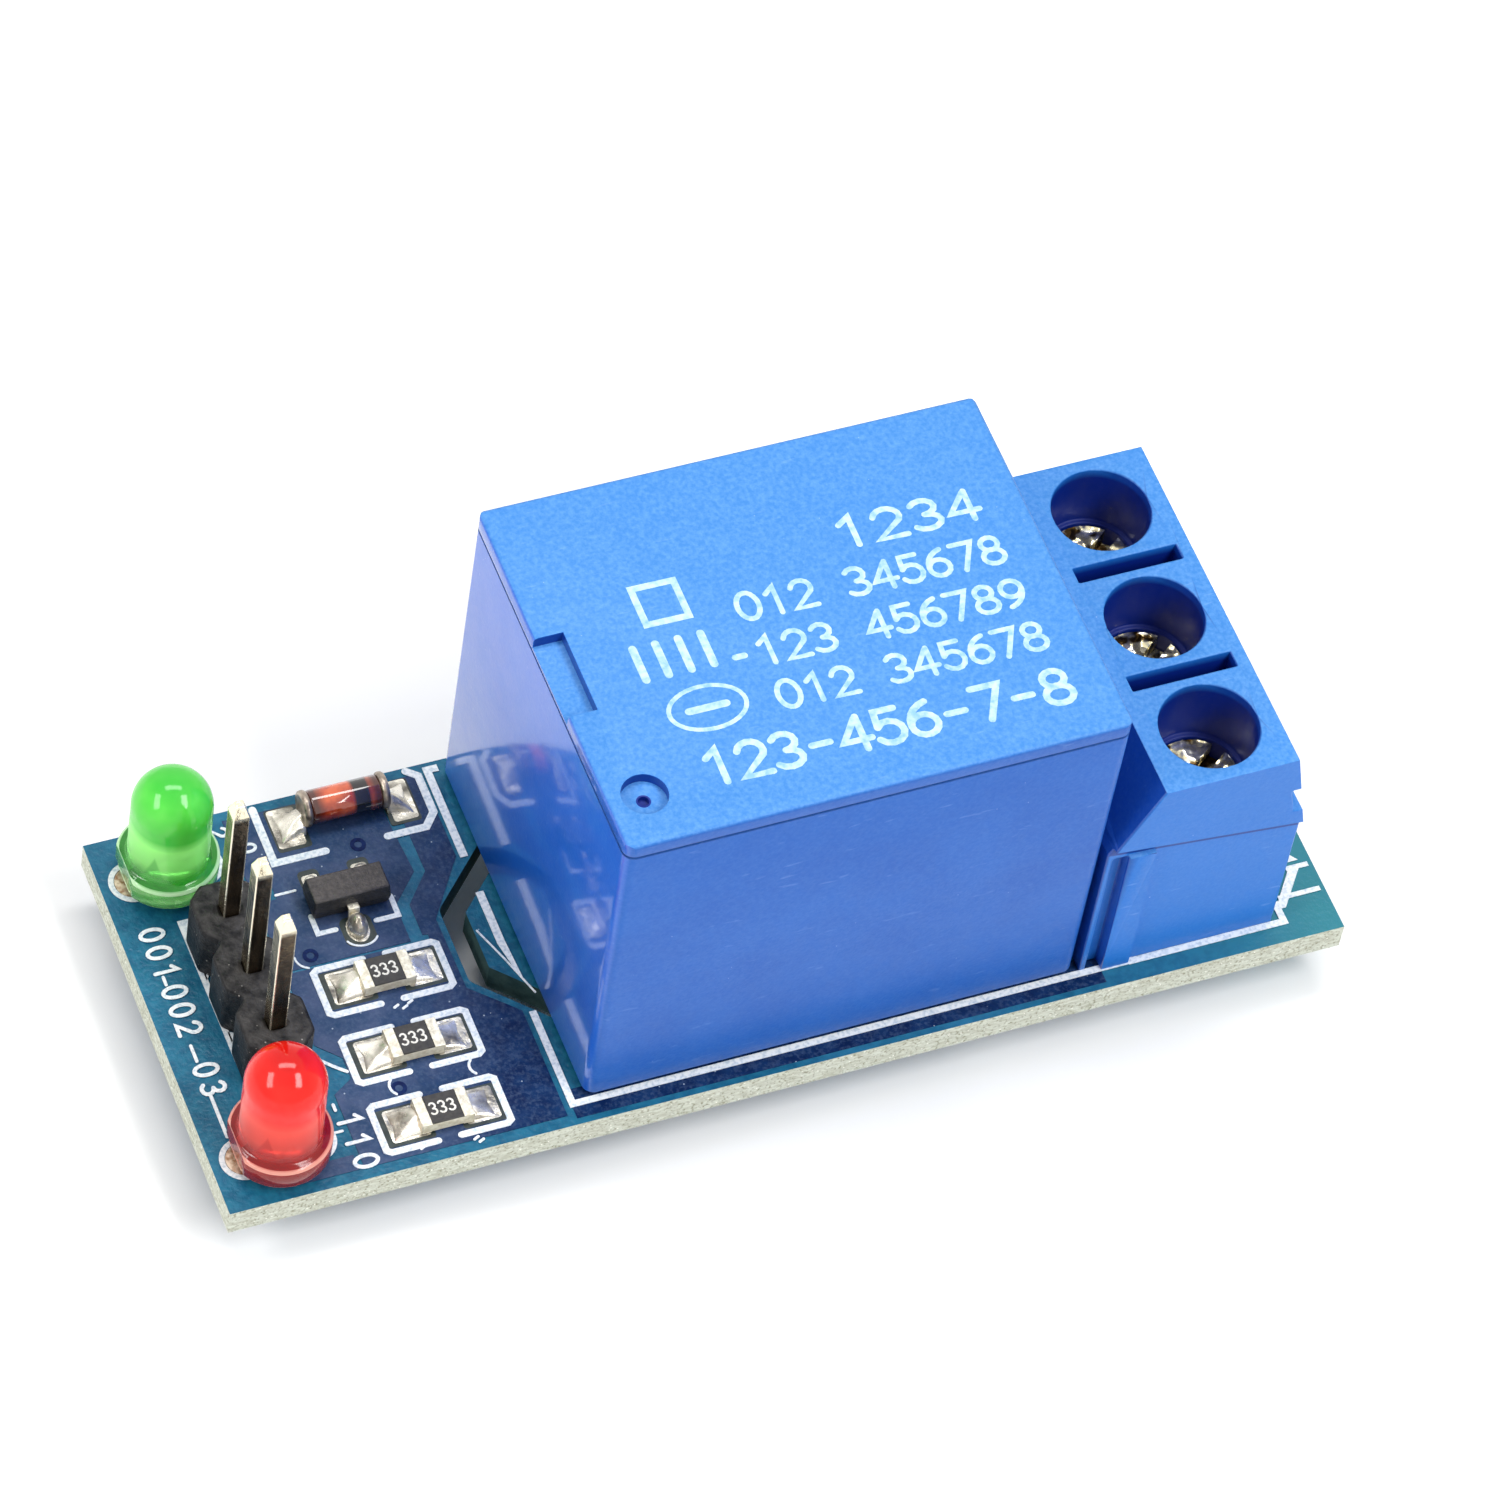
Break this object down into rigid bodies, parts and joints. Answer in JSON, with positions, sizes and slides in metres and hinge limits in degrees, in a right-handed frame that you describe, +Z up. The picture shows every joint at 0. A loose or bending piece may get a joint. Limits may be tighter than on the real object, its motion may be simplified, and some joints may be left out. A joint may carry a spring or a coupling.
{
  "type": "relay module board",
  "caption": "Relay module: a small circuit board with a sealed change-over relay, a screw terminal block, a pin header, indicator lamps and a transistor driver.",
  "frame": {"origin": "below the board's centre, on the surface that the trimmed pin tails stand on", "axes": "+X along the board from the pin header to the wire side of the terminal block, +Y across the board, +Z up"},
  "size_m": [0.0434, 0.0166, 0.0187],
  "materials": {
    "board": "solder mask over glass-fibre laminate",
    "solder": "bright solder",
    "relay_plastic": "moulded plastic, satin",
    "bobbin_plastic": "moulded plastic",
    "winding": "lacquered copper wire",
    "iron": "nickel plate",
    "tinned_pin": "tin plate",
    "contact_silver": "silver alloy",
    "spring_bronze": "rolled bronze",
    "terminal_plastic": "moulded plastic, satin",
    "screw_brass": "passivated plate",
    "cage_metal": "nickel plate",
    "black_plastic": "moulded plastic",
    "pin_gold": "gold flash",
    "red_lens": "tinted epoxy",
    "green_lens": "tinted epoxy",
    "resistor_ceramic": "printed coat on ceramic",
    "diode_glass": "clear glass",
    "silicon": "polished"
  },
  "bodies": {
    "board": {"pcb": "board", "solder_joints": "solder", "solder_fillets": "solder", "relay_cover": "relay_plastic", "relay_base": "relay_plastic", "coil_bobbin": "bobbin_plastic", "coil_winding": "winding", "coil_core": "iron", "relay_yoke": "iron", "coil_pin_1": "tinned_pin", "coil_pin_2": "tinned_pin", "common_terminal": "tinned_pin", "closed_terminal": "tinned_pin", "open_terminal": "tinned_pin", "closed_contact": "contact_silver", "open_contact": "contact_silver", "terminal_housing": "terminal_plastic", "terminal_pin_1": "tinned_pin", "terminal_pin_2": "tinned_pin", "terminal_pin_3": "tinned_pin", "header_body": "black_plastic", "header_pin_1": "pin_gold", "header_pin_2": "pin_gold", "header_pin_3": "pin_gold", "power_lamp_lens": "red_lens", "power_lamp_anode": "tinned_pin", "power_lamp_cathode": "tinned_pin", "relay_lamp_lens": "green_lens", "relay_lamp_anode": "tinned_pin", "relay_lamp_cathode": "tinned_pin", "resistor_1": "resistor_ceramic", "resistor_2": "resistor_ceramic", "resistor_3": "resistor_ceramic", "resistor_ends_1": "tinned_pin", "resistor_ends_2": "tinned_pin", "resistor_ends_3": "tinned_pin", "transistor_body": "black_plastic", "transistor_lead_1": "tinned_pin", "transistor_lead_2": "tinned_pin", "transistor_lead_3": "tinned_pin", "diode_glass": "diode_glass", "diode_cap_1": "tinned_pin", "diode_cap_2": "tinned_pin", "diode_die": "silicon"},
    "armature": {"armature": "iron", "contact_spring": "spring_bronze", "moving_contact": "contact_silver"},
    "screw_1": {"clamp_screw_1": "screw_brass"},
    "cage_1": {"wire_cage_1": "cage_metal"},
    "screw_2": {"clamp_screw_2": "screw_brass"},
    "cage_2": {"wire_cage_2": "cage_metal"},
    "screw_3": {"clamp_screw_3": "screw_brass"},
    "cage_3": {"wire_cage_3": "cage_metal"}
  },
  "joints": [
    {"name": "armature_pivot", "type": "hinge", "parent": "board", "child": "armature", "pos_m": [-0.00557, 0.00029, 0.01374], "axis": [0, 1, 0], "range_deg": [0, 3], "stiffness_Nm_per_rad": 0.02, "springref_deg": -2.86},
    {"name": "screw_turn_1", "type": "hinge", "parent": "board", "child": "screw_1", "pos_m": [0.01566, -0.00518, 0.00965], "axis": [0, 0, -1], "range_deg": [0, 1400.1]},
    {"name": "cage_rise_1", "type": "slide", "parent": "board", "child": "cage_1", "axis": [0, 0, 1], "range_m": [0, 0.00175]},
    {"name": "screw_turn_2", "type": "hinge", "parent": "board", "child": "screw_2", "pos_m": [0.01566, -0.0001, 0.00965], "axis": [0, 0, -1], "range_deg": [0, 1400.1]},
    {"name": "cage_rise_2", "type": "slide", "parent": "board", "child": "cage_2", "axis": [0, 0, 1], "range_m": [0, 0.00175]},
    {"name": "screw_turn_3", "type": "hinge", "parent": "board", "child": "screw_3", "pos_m": [0.01566, 0.00498, 0.00965], "axis": [0, 0, -1], "range_deg": [0, 1400.1]},
    {"name": "cage_rise_3", "type": "slide", "parent": "board", "child": "cage_3", "axis": [0, 0, 1], "range_m": [0, 0.00175]}
  ],
  "couplings": [
    {"joint": "screw_turn_1", "follows": "cage_rise_1", "rad_per_m": 13963},
    {"joint": "screw_turn_2", "follows": "cage_rise_2", "rad_per_m": 13963},
    {"joint": "screw_turn_3", "follows": "cage_rise_3", "rad_per_m": 13963}
  ]
}
